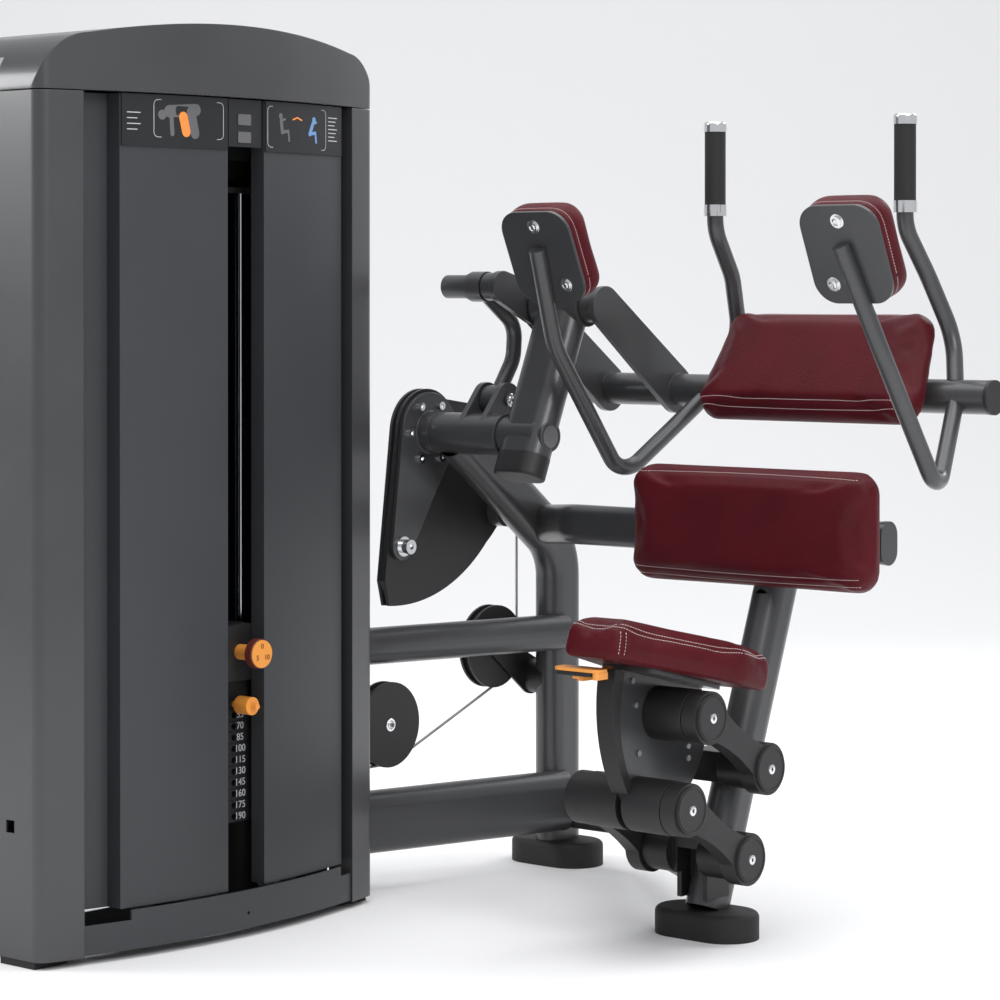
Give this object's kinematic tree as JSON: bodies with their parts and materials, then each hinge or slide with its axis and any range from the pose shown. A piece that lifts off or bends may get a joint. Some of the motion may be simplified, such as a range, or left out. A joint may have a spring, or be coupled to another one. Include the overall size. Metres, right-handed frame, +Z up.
{
  "type": "ab crunch machine",
  "caption": "Seated abdominal crunch machine: shrouded weight tower, pivoting arm with cam and cable, padded upper frame with handles, and a height-adjustable seat.",
  "frame": {"origin": "on the floor, centre of the underside of the foot under the seat post", "axes": "+Z up, the user sits facing -Y with the user's centre plane at X = 0, and the weight tower stands on the -X side"},
  "size_m": [1.324, 1.327, 1.5],
  "materials": {
    "frame_paint": "metallic charcoal powder coat",
    "shroud": "satin dark grey",
    "black_plastic": "fine-grained black",
    "black_metal": "satin black",
    "rubber": "matte black",
    "upholstery": "burgundy vinyl, double stitched",
    "chrome": "polished",
    "steel": "zinc plated",
    "orange": "orange",
    "label": "dark printed plate",
    "weight_iron": "black painted"
  },
  "bodies": {
    "base": {"tower_frame": "frame_paint", "tower_column_near": "frame_paint", "tower_column_far": "frame_paint", "tower_cap": "frame_paint", "pivot_housing": "frame_paint", "main_upright": "frame_paint", "lumbar_arm": "frame_paint", "seat_post": "frame_paint", "cross_beam": "frame_paint", "tower_beams": "frame_paint", "lumbar_plate": "frame_paint", "shroud_near": "shroud", "shroud_far": "shroud", "kick_panel": "shroud", "rear_cover": "shroud", "post_bracket": "black_metal", "pulley_bracket": "black_metal", "floor_feet": "rubber", "tower_feet": "rubber", "stack_bumpers": "rubber", "lumbar_pad": "upholstery", "guide_rods": "chrome", "main_cable": "steel", "stack_cable": "steel", "label_plates": "label", "resting_plates": "weight_iron"},
    "main_arm": {"arm_tube": "frame_paint", "arm_cap": "black_plastic", "arm_shaft": "steel", "cam_sector": "black_metal", "cam_plate": "frame_paint", "cam_bolts": "chrome", "cable_anchor": "steel"},
    "upper_frame": {"swing_frame": "frame_paint", "crossbeam_cap": "black_plastic", "handle_bars": "frame_paint", "handle_grips": "rubber", "grip_collars": "chrome", "elbow_plates": "frame_paint", "elbow_pads": "upholstery", "elbow_bolts": "chrome", "back_plate": "frame_paint", "back_pad": "upholstery"},
    "link_rod": {"link_rod": "frame_paint"},
    "lifted_stack": {"lifted_stack": "weight_iron"},
    "weight_dial": {"weight_dial": "orange"},
    "selector_pin": {"selector_pin": "orange"},
    "seat_link_upper": {"seat_link_upper": "black_plastic"},
    "seat_link_lower": {"seat_link_lower": "black_plastic"},
    "seat_carriage": {"seat_carriage": "frame_paint", "seat_hubs": "black_plastic", "rack_cover": "black_plastic", "seat_screws": "steel", "seat_pad": "upholstery"},
    "seat_lever": {"seat_lever": "orange"},
    "pulley_upright": {"pulley_upright": "black_plastic"},
    "pulley_tower": {"pulley_tower": "black_plastic"},
    "pulley_base": {"pulley_base": "black_plastic"},
    "pulley_top_rear": {"pulley_top_rear": "black_plastic"},
    "pulley_top_stack": {"pulley_top_stack": "black_plastic"}
  },
  "joints": [
    {"name": "crunch", "type": "hinge", "parent": "base", "child": "main_arm", "pos_m": [-0.43, 0.054, 0.811], "axis": [1, 0, 0], "range_deg": [0, 35]},
    {"name": "upper_tilt", "type": "hinge", "parent": "main_arm", "child": "upper_frame", "pos_m": [-0.43, 0.149, 1.038], "axis": [1, 0, 0], "range_deg": [-0.5, 25.8]},
    {"name": "link_swing", "type": "hinge", "parent": "base", "child": "link_rod", "pos_m": [-0.544, 0.095, 0.871], "axis": [1, 0, 0], "range_deg": [-0.5, 44.98]},
    {"name": "stack_lift", "type": "slide", "parent": "base", "child": "lifted_stack", "axis": [0, 0, 1], "range_m": [-0.002, 0.1608], "deforming": ["stack_cable"]},
    {"name": "pin_pull", "type": "slide", "parent": "lifted_stack", "child": "selector_pin", "axis": [1, 0, 0], "range_m": [0, 0.11]},
    {"name": "dial_turn", "type": "hinge", "parent": "lifted_stack", "child": "weight_dial", "pos_m": [-0.575, -0.49, 0.466], "axis": [1, 0, 0], "range_deg": [-60, 60]},
    {"name": "seat_height", "type": "hinge", "parent": "base", "child": "seat_link_upper", "pos_m": [0.098, 0.021, 0.283], "axis": [1, 0, 0], "range_deg": [-12, 22]},
    {"name": "lower_link_swing", "type": "hinge", "parent": "base", "child": "seat_link_lower", "pos_m": [0.098, -0.033, 0.142], "axis": [1, 0, 0], "range_deg": [-12.5, 22.5]},
    {"name": "seat_level", "type": "hinge", "parent": "seat_link_upper", "child": "seat_carriage", "pos_m": [0.098, -0.137, 0.382], "axis": [1, 0, 0], "range_deg": [-22.5, 12.5]},
    {"name": "seat_lever_lift", "type": "hinge", "parent": "seat_carriage", "child": "seat_lever", "pos_m": [-0.024, -0.232, 0.452], "axis": [1, 0, 0], "range_deg": [-14, 0], "stiffness_Nm_per_rad": 1.5, "springref_deg": 14.32},
    {"name": "pulley_upright_spin", "type": "hinge", "parent": "base", "child": "pulley_upright", "pos_m": [-0.684, 0.242, 0.408], "axis": [1, 0, 0], "range_deg": [-0.5, 126.89]},
    {"name": "pulley_tower_spin", "type": "hinge", "parent": "base", "child": "pulley_tower", "pos_m": [-0.684, -0.045, 0.292], "axis": [1, 0, 0], "range_deg": [-0.5, 126.89]},
    {"name": "pulley_base_spin", "type": "hinge", "parent": "base", "child": "pulley_base", "pos_m": [-0.684, -0.24, 0.27], "axis": [1, 0, 0], "range_deg": [-0.5, 182.5]},
    {"name": "pulley_top_rear_spin", "type": "hinge", "parent": "base", "child": "pulley_top_rear", "pos_m": [-0.684, -0.335, 1.3], "axis": [1, 0, 0], "range_deg": [-202.72, 0.5]},
    {"name": "pulley_top_stack_spin", "type": "hinge", "parent": "base", "child": "pulley_top_stack", "pos_m": [-0.684, -0.445, 1.3], "axis": [1, 0, 0], "range_deg": [-202.72, 0.5]}
  ],
  "couplings": [
    {"joint": "upper_tilt", "follows": "crunch", "ratio": 0.723},
    {"joint": "link_swing", "follows": "crunch", "ratio": 1.271},
    {"joint": "stack_lift", "follows": "crunch", "m_per_rad": 0.26},
    {"joint": "lower_link_swing", "follows": "seat_height", "ratio": 1},
    {"joint": "seat_level", "follows": "seat_height", "ratio": -1},
    {"joint": "pulley_upright_spin", "follows": "crunch", "ratio": 3.6111},
    {"joint": "pulley_tower_spin", "follows": "crunch", "ratio": 3.6111},
    {"joint": "pulley_base_spin", "follows": "crunch", "ratio": 5.2},
    {"joint": "pulley_top_rear_spin", "follows": "crunch", "ratio": -5.7778},
    {"joint": "pulley_top_stack_spin", "follows": "crunch", "ratio": -5.7778}
  ]
}
